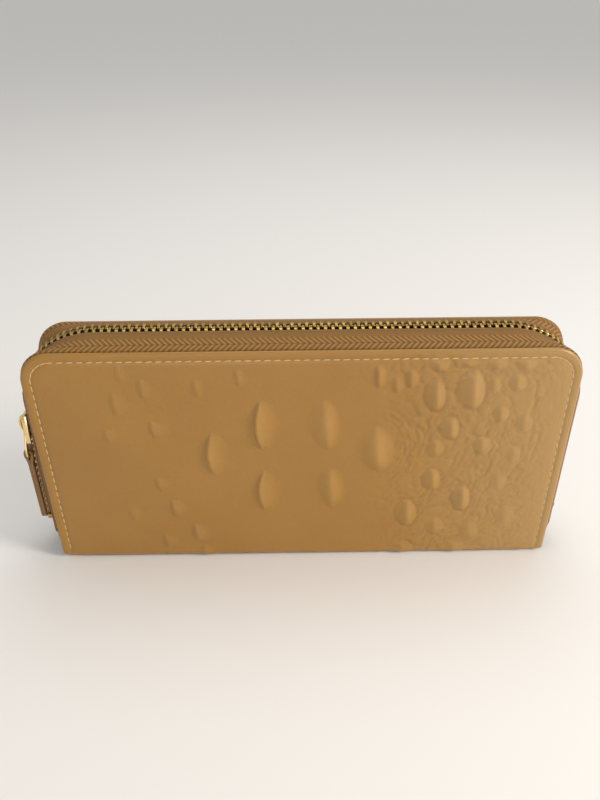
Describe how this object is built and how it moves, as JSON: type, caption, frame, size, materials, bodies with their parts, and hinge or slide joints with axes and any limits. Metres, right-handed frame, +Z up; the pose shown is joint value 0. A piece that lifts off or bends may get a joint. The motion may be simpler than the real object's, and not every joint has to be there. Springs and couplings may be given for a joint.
{
  "type": "zip around wallet",
  "caption": "Long wallet standing on its spine: embossed leather covers closed by a metal zip round three sides, with card pockets and a zipped coin pocket inside.",
  "frame": {"origin": "centre of the spine's flat underside", "axes": "+X along the wallet's length, away from the slider's side; front cover faces -Y; +Z up to the long zipped edge"},
  "size_m": [0.2107, 0.026, 0.0977],
  "materials": {
    "embossed_leather": "caramel leather, reptile embossed, soft gloss",
    "tab_leather": "smooth caramel leather strip, folded and sewn",
    "trim_leather": "smooth leather, satin",
    "cover_board": "plain stiffening board, hidden",
    "lining_fabric": "woven lining, matt",
    "zip_fabric": "herringbone zip tape",
    "antique_brass": "antique brass",
    "gold_metal": "polished pale gold"
  },
  "bodies": {
    "spine_and_coin_pocket": {"spine_leather": "embossed_leather", "spine_lining": "lining_fabric", "front_fold_leather": "embossed_leather", "back_fold_leather": "embossed_leather", "coin_pocket_front_panel": "trim_leather", "coin_pocket_back_panel": "trim_leather", "coin_pocket_floor": "trim_leather", "coin_pocket_left_side": "trim_leather", "coin_pocket_right_side": "trim_leather", "coin_zip_front_tape": "zip_fabric", "coin_zip_back_tape": "zip_fabric", "coin_zip_front_coil": "zip_fabric", "coin_zip_back_coil": "zip_fabric", "coin_zip_left_stop": "antique_brass", "coin_zip_right_stop": "antique_brass", "left_front_gusset": "lining_fabric", "left_back_gusset": "lining_fabric", "right_front_gusset": "lining_fabric", "right_back_gusset": "lining_fabric"},
    "front_cover": {"front_cover_leather": "embossed_leather", "front_cover_board": "cover_board", "front_cover_lining": "lining_fabric", "front_zip_tape": "zip_fabric", "front_zip_teeth": "antique_brass", "front_zip_top_stop": "antique_brass", "front_card_pocket_1": "trim_leather", "front_card_pocket_2": "trim_leather", "front_card_pocket_3": "trim_leather", "front_card_pocket_4": "trim_leather"},
    "back_cover": {"back_cover_leather": "embossed_leather", "back_cover_board": "cover_board", "back_cover_lining": "lining_fabric", "back_zip_tape": "zip_fabric", "back_zip_teeth": "antique_brass", "back_zip_top_stop": "antique_brass", "back_card_pocket_1": "trim_leather", "back_card_pocket_2": "trim_leather", "back_card_pocket_3": "trim_leather", "back_card_pocket_4": "trim_leather", "zip_bottom_stop": "antique_brass"},
    "zip_slider": {"zip_slider_body": "gold_metal", "zip_slider_crown": "gold_metal"},
    "zip_link": {"zip_pull_link": "gold_metal"},
    "zip_tab": {"zip_pull_tab": "tab_leather"},
    "coin_slider": {"coin_slider_body": "gold_metal", "coin_slider_crown": "gold_metal"},
    "coin_pull": {"coin_zip_pull": "gold_metal"}
  },
  "joints": [
    {"name": "front_cover_hinge", "type": "hinge", "parent": "spine_and_coin_pocket", "child": "front_cover", "pos_m": [0, -0.01, 0.003], "axis": [1, 0, 0], "range_deg": [0, 35], "deforming": ["front_fold_leather", "left_front_gusset", "right_front_gusset"]},
    {"name": "back_cover_hinge", "type": "hinge", "parent": "spine_and_coin_pocket", "child": "back_cover", "pos_m": [0, 0.01, 0.003], "axis": [-1, 0, 0], "range_deg": [0, 35], "deforming": ["back_fold_leather", "left_back_gusset", "right_back_gusset"]},
    {"name": "zip_slide", "type": "slide", "parent": "back_cover", "child": "zip_slider", "axis": [0, 0, 1], "range_m": [-0.033, 0.008], "deforming": ["front_zip_teeth", "back_zip_teeth"]},
    {"name": "zip_link_swing", "type": "hinge", "parent": "zip_slider", "child": "zip_link", "pos_m": [-0.10535, 0, 0.0555], "axis": [0, 1, 0], "range_deg": [0, 110]},
    {"name": "zip_tab_swing", "type": "hinge", "parent": "zip_link", "child": "zip_tab", "pos_m": [-0.10535, 0, 0.0449], "axis": [0, 1, 0], "range_deg": [0, 65]},
    {"name": "coin_zip_slide", "type": "slide", "parent": "spine_and_coin_pocket", "child": "coin_slider", "axis": [-1, 0, 0], "range_m": [0, 0.153], "deforming": ["coin_zip_front_coil", "coin_zip_back_coil"]},
    {"name": "coin_pull_swing", "type": "hinge", "parent": "coin_slider", "child": "coin_pull", "pos_m": [0.0775, 0, 0.0839], "axis": [0, 1, 0], "range_deg": [0, 170]}
  ]
}
